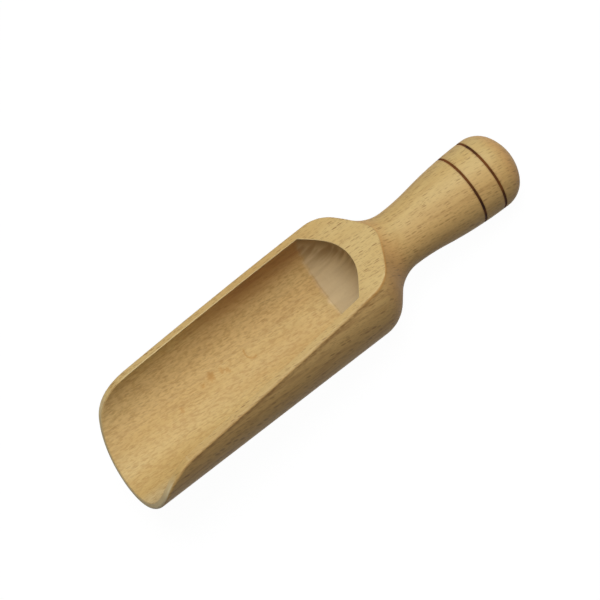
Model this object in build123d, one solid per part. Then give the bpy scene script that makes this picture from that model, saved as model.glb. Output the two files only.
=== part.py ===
from build123d import *
import math
import os

# A kitchen scoop turned from one piece of beech, bored from the front and cut away on top.
# Lengths are in millimetres and angles in degrees.
# It is shaped on its turning axis, which runs along X from the lip to the handle's tip.
# It is then laid down as it rests on a table, tipped back onto its shoulder and handle.

# The whole turning
overall_length = 183.9      # from the lowest point of the lip to the tip of the handle
bowl_diameter = 50.0
neck_diameter = 23.0        # the thinnest place, behind the bowl
handle_diameter = 29.5      # the thickest place of the handle

# Shoulder and cove, where the bowl draws in to the neck
shoulder_at = 106.7         # where the straight bowl ends
shoulder_radius = 13.5
shoulder_straight = 4.6     # the straight stretch between shoulder and cove
cove_radius = 15.6

# Handle
hollow_share = 0.32         # how much of the radii of the flare's two arcs is the hollow one's
dome_corner_radius = 10.0
dome_corner_turn = 56.0     # how far the corner turns before the flatter tip begins

# Bore
bowl_wall = 2.8
bore_straight = 101.8       # from the lip to where the bore starts to draw in
bore_bevel_share = 0.378378  # of the bore's radius: the boring tool leaves a bevel, and then a rounded end
bore_bevel_lean = 45.0

# The cut that opens the bowl, seen from the side
rim_height = 1.67           # above the turning axis, measured over the lip
rim_slope = 5.7
lip_lean = 73.3             # how steeply the lip starts up from its lowest point
lip_bow_radius = 107.0
mouth_corner_radius = 21.4

# Edges softened with sandpaper
outer_edge_radius = 1.0
inner_edge_bevel = 0.3

# Burnt lines, placed by how far along the flare they are, from the neck to the thickest place
line_names = ("burnt_line_front", "burnt_line_rear")
line_shares = (0.724, 0.95)
line_width = 1.0
line_depth = 0.45
char_thickness = 0.2        # at the bottom of the groove; it thins out towards the edges

overrun = 5.0               # how far every cutter runs past the wood
turning_start = 135.0       # each turning starts low on one side, clear of the rim
touching = 0.001            # surfaces nearer than this are one

bowl_radius = bowl_diameter / 2
neck_radius = neck_diameter / 2
handle_radius = handle_diameter / 2
bore_radius = bowl_radius - bowl_wall
bore_bevel_length = bore_bevel_share * bore_radius


def sin(angle):
    return math.sin(math.radians(angle))


def cos(angle):
    return math.cos(math.radians(angle))


def on_circle(centre, radius, angle):
    # The angle is measured from straight up towards the handle
    return centre + Vector(sin(angle), cos(angle)) * radius


def arc(centre, radius, start, end):
    middle = (start + end) / 2
    return ThreePointArc(*(on_circle(centre, radius, angle) for angle in (start, middle, end)))


# Shoulder, straight and cove together make up the step in radius from bowl to neck,
# which sets the steepest slope and the neck's place
bends = shoulder_radius + cove_radius
step = bowl_radius - neck_radius
steepest = math.degrees(
    math.acos((bends - step) / math.hypot(bends, shoulder_straight)) - math.atan2(shoulder_straight, bends)
)
neck_at = shoulder_at + bends * sin(steepest) + shoulder_straight * cos(steepest)

# The dome is a corner arc and then a flatter arc centred on the axis
corner_drop = dome_corner_radius * (1 - cos(dome_corner_turn))
tip_radius = (handle_radius - corner_drop) / cos(dome_corner_turn)
dome_length = dome_corner_radius * sin(dome_corner_turn) + tip_radius * (1 - sin(dome_corner_turn))
belly_at = overall_length - dome_length

# The flare is a hollow arc and a full arc that turn by the same angle
flare_length = belly_at - neck_at
flare_turn = math.degrees(2 * math.atan2(handle_radius - neck_radius, flare_length))
flare_radii = flare_length / sin(flare_turn)
hollow_radius = hollow_share * flare_radii
full_radius = flare_radii - hollow_radius

shoulder_centre = Vector(shoulder_at, bowl_radius - shoulder_radius)
cove_centre = Vector(neck_at, neck_radius + cove_radius)
hollow_centre = Vector(neck_at, neck_radius + hollow_radius)
full_centre = Vector(belly_at, handle_radius - full_radius)
corner_centre = Vector(belly_at, handle_radius - dome_corner_radius)
tip_centre = Vector(overall_length - tip_radius, 0)


def handle_radius_at(place):
    # The handle's radius on the full arc of its flare, where the burnt lines are
    return full_centre.Y + math.sqrt(full_radius**2 - (place - belly_at) ** 2)


def blank_outline():
    # Half of the outside as it leaves the lathe, from the axis up
    with BuildSketch() as outline:
        with BuildLine():
            Polyline((shoulder_at, bowl_radius), (0, bowl_radius), (0, 0), (overall_length, 0))
            shoulder = arc(shoulder_centre, shoulder_radius, 0, steepest)
            cove = arc(cove_centre, cove_radius, 180 + steepest, 180)
            Line(shoulder @ 1, cove @ 0)
            arc(hollow_centre, hollow_radius, 180, 180 - flare_turn)
            arc(full_centre, full_radius, -flare_turn, 0)
            arc(corner_centre, dome_corner_radius, 0, dome_corner_turn)
            arc(tip_centre, tip_radius, dome_corner_turn, 90)
        make_face()
    return outline.sketch


def bore_outline():
    # What the boring tool takes out. Its rounded end runs on smoothly from the bevel.
    bevel_start = Vector(bore_straight, bore_radius)
    bevel_end = bevel_start + Vector(cos(bore_bevel_lean), -sin(bore_bevel_lean)) * bore_bevel_length
    nose_radius = bevel_end.Y / cos(bore_bevel_lean)
    nose_centre = Vector(bevel_end.X - nose_radius * sin(bore_bevel_lean), 0)
    with BuildSketch() as outline:
        with BuildLine():
            nose = arc(nose_centre, nose_radius, bore_bevel_lean, 90)
            Polyline(nose @ 0, bevel_start, (-overrun, bore_radius), (-overrun, 0), nose @ 1)
        make_face()
    return outline.sketch


def cut_outline():
    # What is sawn off over the rim and in front of the lip, seen from the side
    along_rim = Vector(cos(rim_slope), sin(rim_slope))
    under_rim = Vector(sin(rim_slope), -cos(rim_slope))
    rim_start = Vector(0, rim_height)
    lip_low = Vector(0, -bowl_radius)
    lip_out = lip_low - Vector(cos(lip_lean), sin(lip_lean)) * overrun
    bow_centre = lip_low + Vector(sin(lip_lean), -cos(lip_lean)) * lip_bow_radius
    # The mouth's corner touches the lip's bow from inside and the rim from below
    offset = rim_start + under_rim * mouth_corner_radius - bow_centre
    back = offset.dot(along_rim)
    corner_run = -back - math.sqrt(back**2 - offset.dot(offset) + (lip_bow_radius - mouth_corner_radius) ** 2)
    corner = bow_centre + offset + along_rim * corner_run
    touch = math.degrees(math.atan2((corner - bow_centre).X, (corner - bow_centre).Y))
    rim_end = rim_start + along_rim * (neck_at / along_rim.X)
    top = bowl_radius + overrun
    with BuildSketch() as outline:
        with BuildLine():
            arc(bow_centre, lip_bow_radius, -lip_lean, touch)
            turn = arc(corner, mouth_corner_radius, touch, -rim_slope)
            Polyline(turn @ 1, rim_end, (neck_at, top), (-top, top), (-top, lip_out.Y), lip_out, lip_low)
        make_face()
    return outline.sketch


def line_outlines(place):
    # The V groove of one burnt line, and the char that lines its two flanks
    half_width = line_width / 2
    bottom = Vector(place, handle_radius_at(place) - line_depth)
    edges = [Vector(at, handle_radius_at(at)) for at in (place - half_width, place + half_width)]
    flank_ends = [bottom + (edge - bottom).normalized() * overrun for edge in edges]
    with BuildSketch() as groove:
        with BuildLine():
            Polyline(flank_ends[0], bottom, flank_ends[1], close=True)
        make_face()
    with BuildSketch() as lining:
        with BuildLine():
            Polyline(edges[0], bottom, edges[1], bottom + Vector(0, char_thickness), close=True)
        make_face()
    return groove.sketch, lining.sketch


def turned(outline):
    return Rot(turning_start, 0, 0) * revolve(Plane.XZ * outline, Axis.X)


def lies_on(solid, edge):
    return solid.shells()[0].distance_to(edge @ 0.5) < touching


def softened(scoop, blank, hollow, cut):
    # Sandpaper has rounded the outer edges that the saw left, and just broken the inner ones
    outer = [edge for edge in scoop.edges() if lies_on(cut, edge) and lies_on(blank, edge)]
    scoop = fillet(outer, outer_edge_radius)
    inner = [edge for edge in scoop.edges() if lies_on(cut, edge) and lies_on(hollow, edge)]
    return chamfer(inner, inner_edge_bevel)


def make_pieces():
    outline = blank_outline()
    pieces = {}
    for name, share in zip(line_names, line_shares):
        groove, lining = line_outlines(neck_at + share * flare_length)
        outline -= groove
        pieces[name] = turned(lining)
    blank = turned(outline)
    hollow = turned(bore_outline())
    cut = extrude(Plane.XZ * cut_outline(), amount=bowl_radius + overrun, both=True)
    pieces["beech_scoop"] = softened(blank - hollow - cut, blank, hollow, cut)
    return pieces


def tip_back():
    # How far the scoop tips until a table touches both the shoulder's arc and the dome's corner arc
    span = corner_centre - shoulder_centre
    turn = math.atan2(-span.Y, span.X) + math.asin((shoulder_radius - dome_corner_radius) / span.length)
    return math.degrees(turn)


pieces = make_pieces()
tipped = Rot(0, tip_back(), 0)
box = (tipped * pieces["beech_scoop"]).bounding_box()
# The origin is on the table, under the middle of the scoop
laid_down = Pos(-box.center().X, 0, -box.min.Z) * tipped

os.makedirs("parts", exist_ok=True)
for name, piece in pieces.items():
    placed = laid_down * piece
    placed.label = name
    export_step(placed, f"parts/{name}.step")
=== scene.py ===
import math

import bpy
from mathutils import Matrix, Vector

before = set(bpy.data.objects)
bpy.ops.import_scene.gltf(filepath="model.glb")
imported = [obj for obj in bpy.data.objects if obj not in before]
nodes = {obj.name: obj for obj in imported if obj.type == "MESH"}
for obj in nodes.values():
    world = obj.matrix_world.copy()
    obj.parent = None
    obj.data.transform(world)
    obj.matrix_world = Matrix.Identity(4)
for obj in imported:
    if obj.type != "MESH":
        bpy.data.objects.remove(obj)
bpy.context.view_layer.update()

# The scoop lies tipped back on its shoulder and handle. Patterns are worked out along its turning axis,
# in millimetres: x from the lip towards the handle's tip, z up from the axis.
axisFrame = {
    "mmPerMetre": 1000,
    "tipBack": 8.897278,               # degrees
    "lipOnAxis": (-89.2672, 41.3642),  # where x = 0 on the axis lies on the table, in mm: X and Z
    "rimSlope": 5.7,                   # degrees
    "rimHeight": 1.67,
    "boreRadius": 22.2,
    "boreEnd": 101.8,
    "neck": 131.7,
    "lines": (161.2, 170.41),
}

# A fade is two values, between which a layer comes up from 0 to 1. With four, the last two are its amounts
# at the first two. Here a fade parts the scoop's surfaces from each other.
surfaces = {
    "rimDepth": (0.35, 0.15),     # mm under the sawn rim
    "wallDepth": (0.05, 0.2),     # mm outwards from the bore's wall
    "boreTip": (12.7, 12.8),      # mm past the place where the bore starts to draw in
    "poleRadius": (2.0, 1.7),     # mm from the axis, at the dome's pole
    "poleAlong": (180.9, 181.9),  # mm from the lip
}


def toLinear(hexColour):
    values = [int(hexColour[i:i + 2], 16) / 255 for i in (1, 3, 5)]
    return [v / 12.92 if v <= 0.04045 else ((v + 0.055) / 1.055) ** 2.4 for v in values] + [1.0]


def addNode(tree, kind, inputs=(), **settings):
    # The inputs are a list in the node's own order, or a dictionary. Its outputs are handed back.
    node = tree.nodes.new("ShaderNode" + kind)
    for name, value in settings.items():
        setattr(node, name, value)
    for key, value in (inputs.items() if isinstance(inputs, dict) else enumerate(inputs)):
        if isinstance(value, bpy.types.NodeSocket):
            tree.links.new(value, node.inputs[key])
        else:
            node.inputs[key].default_value = value
    return node.outputs


def where(tree, *masks):
    # Multiplies its masks. Each is an amount, or a value with the fade that it runs through, smoothly.
    product = None
    for mask in masks:
        if isinstance(mask, tuple):
            mask = addNode(tree, "MapRange", mask, interpolation_type="SMOOTHSTEP")[0]
        if product is not None:
            mask = addNode(tree, "Math", [product, mask], operation="MULTIPLY")[0]
        product = mask
    return product


def tint(tree, below, above, *masks):
    # Lays one colour over another where its masks say. A name is one of the beech's colours.
    colours = [toLinear(beech["colours"][c]) if isinstance(c, str) else c for c in (below, above)]
    return addNode(tree, "MixRGB", [where(tree, *masks), *colours])[0]


def pattern(tree, place, layer):
    # A cloudy pattern of the layer's own size in mm
    scale = tuple(1 / length for length in layer["size"])
    scaled = addNode(tree, "Mapping", {"Vector": place, "Scale": scale})[0]
    return addNode(tree, "TexNoise", {
        "Vector": scaled,
        "Scale": 1.0,
        "Detail": layer.get("detail", 2.0),
        "Roughness": layer.get("roughness", 0.5),
    })[0]


def distance(tree, first, second):
    # The length of the diagonal of two lengths
    squares = addNode(tree, "Math", [second, second], operation="MULTIPLY")[0]
    squares = addNode(tree, "Math", [first, first, squares], operation="MULTIPLY_ADD")[0]
    return addNode(tree, "Math", [squares], operation="SQRT")[0]


def apart(tree, value, centre):
    # How far a value is from a centre, either way
    gap = addNode(tree, "Math", [value, centre], operation="SUBTRACT")[0]
    return addNode(tree, "Math", [gap], operation="ABSOLUTE")[0]


# The beech. A size is in mm: along the grain, across the rays and along the rays.
# "along" is a fade over x, "across" over y, "height" over z, and "facing" over one part of the normal.
beech = {
    "colours": {
        "pale": "#ccb176",
        "tan": "#c2a163",
        "band": "#ad8850",
        "fleck": "#7c572a",
        "streak": "#93683a",
        # Partly painted shade: the browner colour of the sides
        "side": "#cda466",
        # Painted bounce light on one wall of the bore
        "paintedWallLight": "#e0c086",
        # Partly the wood's own redder tone, partly painted shade near the top of the bore
        "redTopAndShade": "#99603c",
        "paleWall": "#d3bf90",
        "boreEnd": "#dbc8a1",
        "boreEndDark": "#84653f",
        "lip": "#e0cfa4",
        "shoulder": "#cc9c60",
        "dome": "#d3a163",
        "rubbedEdge": "#bb8640",
        # Painted highlight on the bevel of the bore's edge
        "paintedEdgeHighlight": "#e0cb95",
        "scorch": "#7c5227",
        "stain": "#b07d36",
    },
    "grainTurn": -7.0,         # degrees that the grain runs off the turning axis, seen from above
    "grainRise": -2.0,
    "rayLean": 28.0,           # degrees that the wood's rays lean off upright, seen along the axis
    "tone": {"size": (70, 15, 12), "detail": 3.0, "fade": (0.35, 0.7)},
    "rings": {
        "size": (130, 9.0, 2.2),
        "detail": 3.0,
        "roughness": 0.6,
        "fade": (0.48, 0.7),
        "amount": 0.2,
        "moreOutside": (105, 140, 0.4, 0.2),  # over x, on top of the amount
    },
    # The sides' brown is partly the wood's own and partly painted shade
    "sidesAndShade": {"facing": (0.2, 0.95, 0.0, 0.7)},
    "streaks": {
        "size": (32, 1.5, 1.5),
        "roughness": 0.55,
        "fade": (0.47, 0.66),
        "facing": (0.35, 0.85, 0.05, 0.42),  # over how far the surface faces sideways
        "along": (105, 140, 1.0, 0.55),
    },
    "rimSides": {"along": (113, 98, 0.0, 0.26)},
    # Painted light: one wall of the bore is lighter and warmer
    "paintedWallLight": {"across": (11, 19, 0.0, 0.6), "height": (3, -4)},
    # Partly the wood's own redder band, partly painted shade
    "redTopAndShade": {"height": (-9, 4, 0.0, 0.52), "along": (40, 75)},
    "paleWall": {"across": (-6, -12), "amount": 0.75},
    "oiled": {"facing": (0.12, 0.7, 0.0, 0.7), "along": (60, 90), "dome": (170.4, 176.4)},
    "boreEnd": {
        "size": (14, 2.3, 34),
        "ragged": (-18, 0, 2.0, 2.6),    # over the height, to mm that its edge wanders
        "edge": (-0.6, 0.9),             # share of that wandering before the edge, and mm past it
        "dark": (0.68, 0.36),
        # Painted shade: the streaks grow darker, and the end's colour darkens, towards the top
        "darkHeight": (-11, 4, 0.12, 0.75),
        "shade": (-5, 12, 0.0, 0.85),
    },
    "endCornerBand": {"fromEnd": -0.2, "width": (1.0, 0.2), "middle": -15.0, "length": (6, 1, 0.0, 0.3)},
    "lip": {"facing": (-0.5, -0.8), "along": (60, 40), "wallDepth": (1.2, 2.3, 0.5, 1.0)},
    "sideGrainLost": 0.9,      # how much of the marks of side grain the end grain hides
    # Real pores are finer than this, and are drawn coarser so that they show
    "pores": {"size": (5.0, 0.42, 0.42), "detail": 3.0, "roughness": 0.65, "fade": (0.5, 0.78, 0.0, 0.35)},
    "flecks": {
        "cell": (2.6, 1.0, 16),          # mm from one ray to the next
        "half": (1.25, 0.25, 9),         # half of a ray's own size, in mm
        "edge": (1.3, 0.5),              # in such halves
        "leftOut": 0.05,                 # the share that doesn't show
        "scatter": 0.8,
        "small": 0.6,                    # size of the short rays, as a share of the long ones
        "smallLeftOut": 0.1,
        "smallAmount": 0.7,
        "amount": 0.6,
        "moreOnRim": 0.18,
        "lessInBore": 0.25,
        "patches": {"size": (12, 3, 3), "fade": (0.35, 0.65, 0.45, 1.0)},
    },
    "mottle": {"size": (2.2, 0.8, 0.8), "fade": (0.42, 0.68, 0.0, 0.52)},
    # A painted highlight along the bevel of the bore's edge
    "boreEdgeHighlight": {
        "rimDepth": (0.4, 0.3),
        "facing": (0.95, 0.85),
        "wallDepth": (1.0, 0.5),
        "along": (115.0, 114.2),
        "amount": 0.8,
    },
    "underEdge": {
        "rimDepths": ((0.6, 1.0), (2.6, 1.2)),
        "facing": (0.6, 0.85),
        "along": (114, 104),
        "mottle": (0.3, 0.6, 0.15, 0.6),
    },
    "shoulderEdge": {"rimDepth": (1.5, 0.5), "alongs": ((98, 108), (126, 118)), "amount": 0.55},
    "besideLines": (1.1, 0.5, 0.0, 0.4),  # mm from the middle of each burnt line
    "stains": {
        "size": (0.9, 0.7, 0.7),
        "detail": 3.0,
        "roughness": 0.7,
        "ragged": 3.0,
        "edge": (2.1, 0.6),              # mm past each stain's own radius
        "amount": 0.48,
        "height": (-6, -9),
        "marks": (                       # x, y and radius
            (48.9, 14.2, 1.6), (53.4, 13.9, 1.0), (55.4, 12.8, 0.9), (44.6, 13.5, 0.7), (33.0, 11.5, 0.8)),
    },
    "ringMark": {
        "place": (66.4, 13.4),
        "radius": 2.3,
        "line": (0.5, 0.15),
        "towards": (-0.8, -0.6),         # it shows on this side, and is open towards the handle
        "shows": (0.0, 0.9, 0.0, 0.45),
    },
    "turning": {"size": (0.55, 90, 90), "fade": (0.55, 0.75, 0.0, 0.18), "fromNeck": (34, 4, 0.1, 1.0)},
    "bump": {"strength": 0.5, "depth": 0.0001, "pores": 0.5},  # the depth is in metres
    "roughness": 0.58,
    "ior": 1.5,
    "specular": 0.3,
}


def locate(tree):
    # Where on the scoop a point lies, which way it faces, and where it lies in the grain
    tipBack = math.radians(axisFrame["tipBack"])
    lipX, lipZ = axisFrame["lipOnAxis"]
    place = addNode(tree, "TexCoord")
    onAxis = addNode(tree, "Mapping", {
        "Vector": place["Object"],
        "Scale": (axisFrame["mmPerMetre"],) * 3,
        "Rotation": (0, -tipBack, 0),
        "Location": (
            -lipX * math.cos(tipBack) + lipZ * math.sin(tipBack),
            0,
            -lipX * math.sin(tipBack) - lipZ * math.cos(tipBack),
        ),
    })[0]
    x, y, z = addNode(tree, "SeparateXYZ", [onAxis])
    radius = distance(tree, y, z)
    grain = addNode(tree, "Mapping", {
        "Vector": onAxis,
        "Rotation": (0, math.radians(beech["grainRise"]), -math.radians(beech["grainTurn"])),
    })[0]
    rayTurn = (-math.radians(beech["rayLean"]), 0, 0)
    rays = addNode(tree, "Mapping", {"Vector": grain, "Rotation": rayTurn})[0]

    # A sliver in the mesh at the dome's pole bends the smooth normal, so that isn't used within 2 mm of it
    atPole = where(tree, (radius, *surfaces["poleRadius"]), (x, *surfaces["poleAlong"]))
    turnBack = {"Vector": place["Normal"], "Rotation": (0, -tipBack, 0)}
    facing = addNode(tree, "Mapping", turnBack, vector_type="NORMAL")[0]
    facing = addNode(tree, "MixRGB", [atPole, facing, (1.0, 0.0, 0.0, 1.0)])[0]
    facingX, facingY, facingZ = addNode(tree, "SeparateXYZ", [facing])
    geometry = addNode(tree, "NewGeometry")

    # On the sawn rim, on the outside or in the bore
    rimRise = math.tan(math.radians(axisFrame["rimSlope"]))
    rimPlane = addNode(tree, "Math", [x, rimRise, axisFrame["rimHeight"]], operation="MULTIPLY_ADD")[0]
    rimDepth = addNode(tree, "Math", [rimPlane, z], operation="SUBTRACT")[0]
    wallDepth = addNode(tree, "Math", [radius, axisFrame["boreRadius"]], operation="SUBTRACT")[0]
    fromEnd = addNode(tree, "Math", [x, axisFrame["boreEnd"]], operation="SUBTRACT")[0]
    onRim = where(tree, (rimDepth, *surfaces["rimDepth"]))
    pastWall = where(tree, (wallDepth, *surfaces["wallDepth"]))
    pastTip = where(tree, (fromEnd, *surfaces["boreTip"]))
    outside = addNode(tree, "Math", [pastWall, pastTip], operation="MAXIMUM")[0]
    outside = where(tree, outside, addNode(tree, "Math", [1.0, onRim], operation="SUBTRACT")[0])
    notBore = addNode(tree, "Math", [outside, onRim], operation="MAXIMUM")[0]
    return {
        "onAxis": onAxis,
        "grain": grain,
        "rays": rays,
        "x": x,
        "y": y,
        "z": z,
        "rimDepth": rimDepth,
        "wallDepth": wallDepth,
        "fromEnd": fromEnd,
        "facingX": facingX,
        "facingZ": facingZ,
        "facingSide": addNode(tree, "Math", [facingY], operation="ABSOLUTE")[0],
        "normal": addNode(tree, "MixRGB", [atPole, geometry["Normal"], geometry["True Normal"]])[0],
        "onRim": onRim,
        "outside": outside,
        "inBore": addNode(tree, "Math", [1.0, notBore], operation="SUBTRACT")[0],
    }


def longGrain(tree, here):
    # Slow change of tone in stretches along the grain, and growth rings as faint bands
    layer = beech["tone"]
    tone = pattern(tree, here["rays"], layer)
    colour = tint(tree, "pale", "tan", (tone, *layer["fade"]))
    layer = beech["rings"]
    rings = pattern(tree, here["rays"], layer)
    more = where(tree, here["outside"], (here["x"], *layer["moreOutside"]))
    amount = addNode(tree, "Math", [more, layer["amount"]], operation="ADD")[0]
    colour = tint(tree, colour, "band", (rings, *layer["fade"]), amount)

    # The sides are browner than the top: partly the wood, cut along its rays there, and partly painted shade,
    # the deeper brown of the sides where less light reaches them
    colour = tint(tree, colour, "side", (here["facingSide"], *beech["sidesAndShade"]["facing"]), here["outside"])

    # Long brown streaks where the surface runs along the rays, outside and on one wall of the bore
    layer = beech["streaks"]
    streaks = pattern(tree, here["rays"], layer)
    here["paleWall"] = where(tree, here["inBore"], (here["y"], *beech["paleWall"]["across"]))
    elsewhere = addNode(tree, "Math", [1.0, here["paleWall"]], operation="SUBTRACT")[0]
    onWalls = where(tree, (here["facingSide"], *layer["facing"]), (here["x"], *layer["along"]), elsewhere)
    return tint(tree, colour, "streak", (streaks, *layer["fade"]), onWalls)


def rimAndBore(tree, here, colour):
    # The rim's two sides are a little browner than the arch behind the bowl
    colour = tint(tree, colour, "band", here["onRim"], (here["x"], *beech["rimSides"]["along"]))

    # One wall of the bore is painted lighter and warmer than the floor, as painted light bounced inside the
    # bowl. Both walls are painted darker and redder near the top, partly the wood's own tone and partly
    # painted shade
    layer = beech["paintedWallLight"]
    wallLight = where(tree, (here["y"], *layer["across"]), (here["z"], *layer["height"]), here["inBore"])
    colour = tint(tree, colour, "paintedWallLight", wallLight)
    # Painted shade in part: the bore's walls darken and redden towards the top
    layer = beech["redTopAndShade"]
    redAndShade = where(tree, (here["z"], *layer["height"]), (here["x"], *layer["along"]), here["inBore"])
    return tint(tree, colour, "redTopAndShade", redAndShade)


def endGrain(tree, here, colour):
    # End grain takes more oil where the shoulder and the cove draw in, and where the dome closes
    layer = beech["oiled"]
    oiled = tint(tree, "shoulder", "dome", (here["x"], *layer["dome"]))
    facingEnd = addNode(tree, "Math", [here["facingX"]], operation="ABSOLUTE")[0]
    drawnIn = where(tree, (facingEnd, *layer["facing"]), (here["x"], *layer["along"]), here["outside"])
    colour = tint(tree, colour, oiled, drawnIn)

    # The bore's end is bare end grain, greyer than the rest, with broad streaks along the rays. Towards the
    # top the end is painted darker and its dark streaks stronger, as painted shade
    layer = beech["boreEnd"]
    streaks = pattern(tree, here["rays"], layer)
    ragged = where(tree, (here["z"], *layer["ragged"]))
    wander = where(tree, addNode(tree, "Math", [0.5, streaks], operation="SUBTRACT")[0], ragged)
    past = addNode(tree, "Math", [here["fromEnd"], wander], operation="SUBTRACT")[0]
    before, after = layer["edge"]
    boreEnd = where(tree, (past, where(tree, ragged, before), after), here["inBore"])
    dark = where(tree, (streaks, *layer["dark"]), (here["z"], *layer["darkHeight"]))
    shade = where(tree, (here["z"], *layer["shade"]))
    darker = addNode(tree, "Math", [dark, shade], operation="MAXIMUM")[0]
    colour = tint(tree, colour, tint(tree, "boreEnd", "boreEndDark", darker), boreEnd)

    # A faint brown band where the bore's floor meets its end
    layer = beech["endCornerBand"]
    width = (apart(tree, here["fromEnd"], layer["fromEnd"]), *layer["width"])
    length = (apart(tree, here["z"], layer["middle"]), *layer["length"])
    colour = tint(tree, colour, "stain", width, length, here["inBore"])

    # The lip is paler, and palest where it is rubbed over at its outer side
    layer = beech["lip"]
    lip = where(tree, (here["facingX"], *layer["facing"]), (here["x"], *layer["along"]))
    colour = tint(tree, colour, "lip", lip, (here["wallDepth"], *layer["wallDepth"]))
    ends = addNode(tree, "Math", [boreEnd, lip], operation="MAXIMUM")[0]
    lost = where(tree, ends, beech["sideGrainLost"])
    here["sideGrain"] = addNode(tree, "Math", [1.0, lost], operation="SUBTRACT")[0]

    # The bore's other wall has less of the brown in it
    return tint(tree, colour, "paleWall", here["paleWall"], beech["paleWall"]["amount"])


def rayMask(tree, rays, share, leftOut):
    # Beech shows its rays as short dark dashes; share is their size against that of the longest ones
    layer = beech["flecks"]
    cell = [length * share for length in layer["cell"]]
    space = addNode(tree, "Mapping", {"Vector": rays, "Scale": tuple(1 / length for length in cell)})[0]
    cells = addNode(tree, "TexVoronoi", {"Vector": space, "Scale": 1.0, "Randomness": layer["scatter"]})
    away = addNode(tree, "VectorMath", [space, cells["Position"]], operation="SUBTRACT")[0]
    inHalves = tuple(length / half for length, half in zip(layer["cell"], layer["half"]))
    away = addNode(tree, "VectorMath", [away, inHalves], operation="MULTIPLY")[0]
    away = addNode(tree, "VectorMath", [away], operation="LENGTH")["Value"]
    chance = addNode(tree, "SeparateXYZ", [cells["Color"]])[0]
    return where(tree, (away, *layer["edge"]), (chance, leftOut, 1.0))


def fineGrain(tree, here, colour):
    # Fine pores along the grain
    layer = beech["pores"]
    here["pores"] = pattern(tree, here["rays"], layer)
    colour = tint(tree, colour, "band", (here["pores"], *layer["fade"]), here["sideGrain"])

    # Ray flecks: dense on the rim and the sides, weaker on the bore where the tool has burnished them
    layer = beech["flecks"]
    patches = pattern(tree, here["grain"], layer["patches"])
    long = rayMask(tree, here["rays"], 1.0, layer["leftOut"])
    short = rayMask(tree, here["rays"], layer["small"], layer["smallLeftOut"])
    short = where(tree, short, layer["smallAmount"])
    both = addNode(tree, "Math", [long, short], operation="MAXIMUM")[0]
    onRim = [here["onRim"], layer["moreOnRim"], layer["amount"]]
    amount = addNode(tree, "Math", onRim, operation="MULTIPLY_ADD")[0]
    inBore = [here["inBore"], -layer["lessInBore"], amount]
    amount = addNode(tree, "Math", inBore, operation="MULTIPLY_ADD")[0]
    here["flecks"] = where(tree, both, (patches, *layer["patches"]["fade"]), amount, here["sideGrain"])
    colour = tint(tree, colour, "fleck", here["flecks"])

    # The bore shows a fine mottle, where the tool cut across the grain
    layer = beech["mottle"]
    here["mottle"] = pattern(tree, here["rays"], layer)
    mottled = where(tree, (here["mottle"], *layer["fade"]), here["inBore"], here["sideGrain"])
    return tint(tree, colour, "band", mottled)


def edgeWearAndHighlight(tree, here, colour):
    # A painted highlight: the bevel along the bore's edge is painted pale, as a lit edge
    layer = beech["boreEdgeHighlight"]
    rimLean = math.radians(axisFrame["rimSlope"])
    rimFacing = where(tree, here["facingZ"], math.cos(rimLean))
    rimFacing = [here["facingX"], -math.sin(rimLean), rimFacing]
    rimFacing = addNode(tree, "Math", rimFacing, operation="MULTIPLY_ADD")[0]
    bevel = where(tree, (here["rimDepth"], *layer["rimDepth"]), (rimFacing, *layer["facing"]))
    bevel = where(tree, bevel, (here["wallDepth"], *layer["wallDepth"]), (here["x"], *layer["along"]))
    colour = tint(tree, colour, "paintedEdgeHighlight", bevel, layer["amount"])

    # The wall under the rim's outer edge has a thin brown line
    layer = beech["underEdge"]
    line = where(tree, *((here["rimDepth"], *fade) for fade in layer["rimDepths"]), here["outside"])
    line = where(tree, line, (here["facingSide"], *layer["facing"]), (here["x"], *layer["along"]))
    colour = tint(tree, colour, "scorch", line, (here["mottle"], *layer["mottle"]))

    # The sandpapered edges at the shoulder, and the wood beside the burnt lines, have gone brown
    layer = beech["shoulderEdge"]
    edge = where(tree, (here["rimDepth"], *layer["rimDepth"]), here["outside"])
    edge = where(tree, edge, *((here["x"], *fade) for fade in layer["alongs"]), layer["amount"])
    colour = tint(tree, colour, "rubbedEdge", edge)
    for line in axisFrame["lines"]:
        colour = tint(tree, colour, "scorch", (apart(tree, here["x"], line), *beech["besideLines"]))
    return colour


def awayFrom(tree, here, place):
    # How far a point lies from a mark, seen from above, and how far along and across
    along, across = (
        addNode(tree, "Math", [here[axis], mark], operation="SUBTRACT")[0] for axis, mark in zip("xy", place))
    return distance(tree, along, across), along, across


def bowlMarks(tree, here, colour):
    # A few brown stains on the floor of the bowl
    layer = beech["stains"]
    blotches = pattern(tree, here["onAxis"], layer)
    inBowl = where(tree, here["inBore"], (here["z"], *layer["height"]))
    for markX, markY, markRadius in layer["marks"]:
        away = awayFrom(tree, here, (markX, markY))[0]
        ragged = addNode(tree, "Math", [blotches, layer["ragged"], away], operation="MULTIPLY_ADD")[0]
        edge = [markRadius + past for past in layer["edge"]]
        colour = tint(tree, colour, "stain", (ragged, *edge), layer["amount"], inBowl)

    # A round mark that isn't closed
    layer = beech["ringMark"]
    away, along, across = awayFrom(tree, here, layer["place"])
    towardsX, towardsY = layer["towards"]
    side = [along, towardsX, where(tree, across, towardsY)]
    side = addNode(tree, "Math", side, operation="MULTIPLY_ADD")[0]
    ring = where(tree, (apart(tree, away, layer["radius"]), *layer["line"]), (side, *layer["shows"]))
    return tint(tree, colour, "stain", ring, inBowl)


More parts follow.
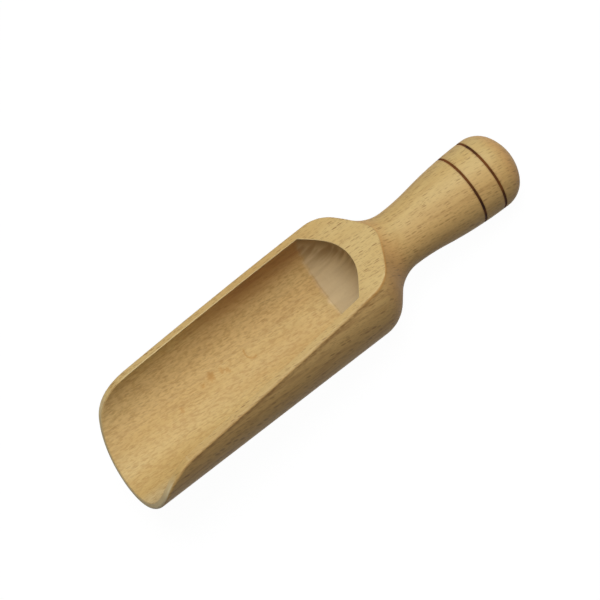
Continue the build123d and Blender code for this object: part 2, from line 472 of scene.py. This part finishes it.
def turningMarks(tree, here, colour):
    # Fine rings round the outside, clearest at the neck. With the pores and the flecks they also give relief.
    layer = beech["turning"]
    turning = pattern(tree, here["onAxis"], layer)
    turned = where(tree, (apart(tree, here["x"], axisFrame["neck"]), *layer["fromNeck"]), here["outside"])
    colour = tint(tree, colour, "band", (turning, *layer["fade"]), turned)
    bump = beech["bump"]
    height = [here["pores"], bump["pores"], where(tree, turning, turned)]
    height = addNode(tree, "Math", height, operation="MULTIPLY_ADD")[0]
    height = addNode(tree, "Math", [height, here["flecks"]], operation="SUBTRACT")[0]
    normal = addNode(tree, "Bump", {
        "Height": height,
        "Strength": bump["strength"],
        "Distance": bump["depth"],
        "Normal": here["normal"],
    })[0]
    return colour, normal


def makeBeech():
    # Beech, turned and sanded, rubbed with a little oil: a dull satin with dark ray flecks along the grain
    material = bpy.data.materials.new("beech_turned_sanded")
    material.use_nodes = True
    tree = material.node_tree
    here = locate(tree)
    colour = longGrain(tree, here)
    for addLayers in (rimAndBore, endGrain, fineGrain, edgeWearAndHighlight, bowlMarks):
        colour = addLayers(tree, here, colour)
    colour, normal = turningMarks(tree, here, colour)
    surface = tree.nodes["Principled BSDF"]
    tree.links.new(colour, surface.inputs["Base Color"])
    tree.links.new(normal, surface.inputs["Normal"])
    surface.inputs["Roughness"].default_value = beech["roughness"]
    surface.inputs["IOR"].default_value = beech["ior"]
    surface.inputs["Specular IOR Level"].default_value = beech["specular"]
    return material


# The burnt lines
char = {
    "core": "#2b1509",
    "brown": "#70421c",
    "burn": {"size": (9.0, 9.0, 9.0), "detail": 3.0, "fade": (0.3, 0.62)},  # in mm, from deep to light
    "roughness": 0.85,
    "specular": 0.2,
}


def makeChar():
    # Beech charred by a wire held in the spinning groove: matt brown-black
    material = bpy.data.materials.new("beech_charred")
    material.use_nodes = True
    tree = material.node_tree
    place = addNode(tree, "TexCoord")["Object"]
    onHandle = addNode(tree, "Mapping", {"Vector": place, "Scale": (axisFrame["mmPerMetre"],) * 3})[0]
    burn = pattern(tree, onHandle, char["burn"])
    colour = tint(tree, toLinear(char["core"]), toLinear(char["brown"]), (burn, *char["burn"]["fade"]))
    surface = tree.nodes["Principled BSDF"]
    tree.links.new(colour, surface.inputs["Base Color"])
    surface.inputs["Roughness"].default_value = char["roughness"]
    surface.inputs["Specular IOR Level"].default_value = char["specular"]
    return material


nodes["beech_scoop"].data.materials.clear()
nodes["beech_scoop"].data.materials.append(makeBeech())
charred = makeChar()
for name in ("burnt_line_front", "burnt_line_rear"):
    nodes[name].data.materials.clear()
    nodes[name].data.materials.append(charred)
print("materials on the scoop and its burnt lines")

# The table and the light
studio = {
    "floorSize": 6.0,
    "floorGrey": 0.045,
    "floorGlow": 0.97,       # seen by the camera only, so that the table reads white and keeps a soft shadow
    "skyStrength": 0.03,
    "softboxSize": 0.9,
    "softboxes": {           # place and power
        "overhead": ((0.25, 0.0, 1.3), 13.7),
        "front": ((0.0, -0.7457, 1.0649), 5.7),
    },
}


def seenDirectly(tree):
    # 1 for what the camera sees directly, in a gloss or through glass
    path = addNode(tree, "LightPath")
    direct = addNode(tree, "Math", [path["Is Camera Ray"], path["Is Glossy Ray"]], operation="MAXIMUM")[0]
    return addNode(tree, "Math", [direct, path["Is Transmission Ray"]], operation="MAXIMUM")[0]


def makeTable():
    bpy.ops.object.select_all(action="DESELECT")
    bpy.ops.mesh.primitive_plane_add(size=studio["floorSize"], location=(0, 0, 0))
    table = bpy.context.object
    table.name = "table"
    material = bpy.data.materials.new("pale_table")
    material.use_nodes = True
    tree = material.node_tree
    tree.nodes.remove(tree.nodes["Principled BSDF"])
    matt = addNode(tree, "BsdfDiffuse", {"Color": (studio["floorGrey"],) * 3 + (1,)})[0]
    strength = addNode(tree, "Math", [seenDirectly(tree), studio["floorGlow"]], operation="MULTIPLY")[0]
    glow = addNode(tree, "Emission", {"Color": (1, 1, 1, 1), "Strength": strength})[0]
    both = addNode(tree, "AddShader", [matt, glow])[0]
    tree.links.new(both, tree.nodes["Material Output"].inputs["Surface"])
    table.data.materials.append(material)


def lightScene():
    world = bpy.data.worlds.new("studio")
    bpy.context.scene.world = world
    world.use_nodes = True
    tree = world.node_tree
    strength = addNode(tree, "MapRange", {0: seenDirectly(tree), 3: studio["skyStrength"], 4: 1.0})[0]
    sky = tree.nodes["Background"]
    sky.inputs["Color"].default_value = (1, 1, 1, 1)
    tree.links.new(strength, sky.inputs["Strength"])
    for name, (place, power) in studio["softboxes"].items():
        lamp = bpy.data.lights.new(name, "AREA")
        lamp.size = studio["softboxSize"]
        lamp.energy = power
        softbox = bpy.data.objects.new(name, lamp)
        softbox.location = place
        softbox.rotation_euler = Vector(place).to_track_quat("Z", "Y").to_euler()
        bpy.context.scene.collection.objects.link(softbox)


# The camera looks down at the scoop, turned so that the handle points up to the right
view = {
    "place": (-0.040805, -0.375275, 0.538125),
    "right": (0.735489, -0.569647, -0.366822),
    "up": (0.674666, 0.565966, 0.473823),
    "lens": 105.808,
    "sensor": 36.0,
    "nearest": 0.01,
}


def placeCamera():
    data = bpy.data.cameras.new("camera")
    data.lens = view["lens"]
    data.sensor_width = view["sensor"]
    data.clip_start = view["nearest"]
    camera = bpy.data.objects.new("camera", data)
    bpy.context.scene.collection.objects.link(camera)
    right, up = Vector(view["right"]).normalized(), Vector(view["up"]).normalized()
    turned = Matrix((right, up, right.cross(up))).transposed().to_4x4()
    camera.matrix_world = Matrix.Translation(view["place"]) @ turned
    bpy.context.scene.camera = camera


placeCamera()
makeTable()
lightScene()
bpy.context.scene.view_settings.view_transform = "Standard"
print("table, light and camera")
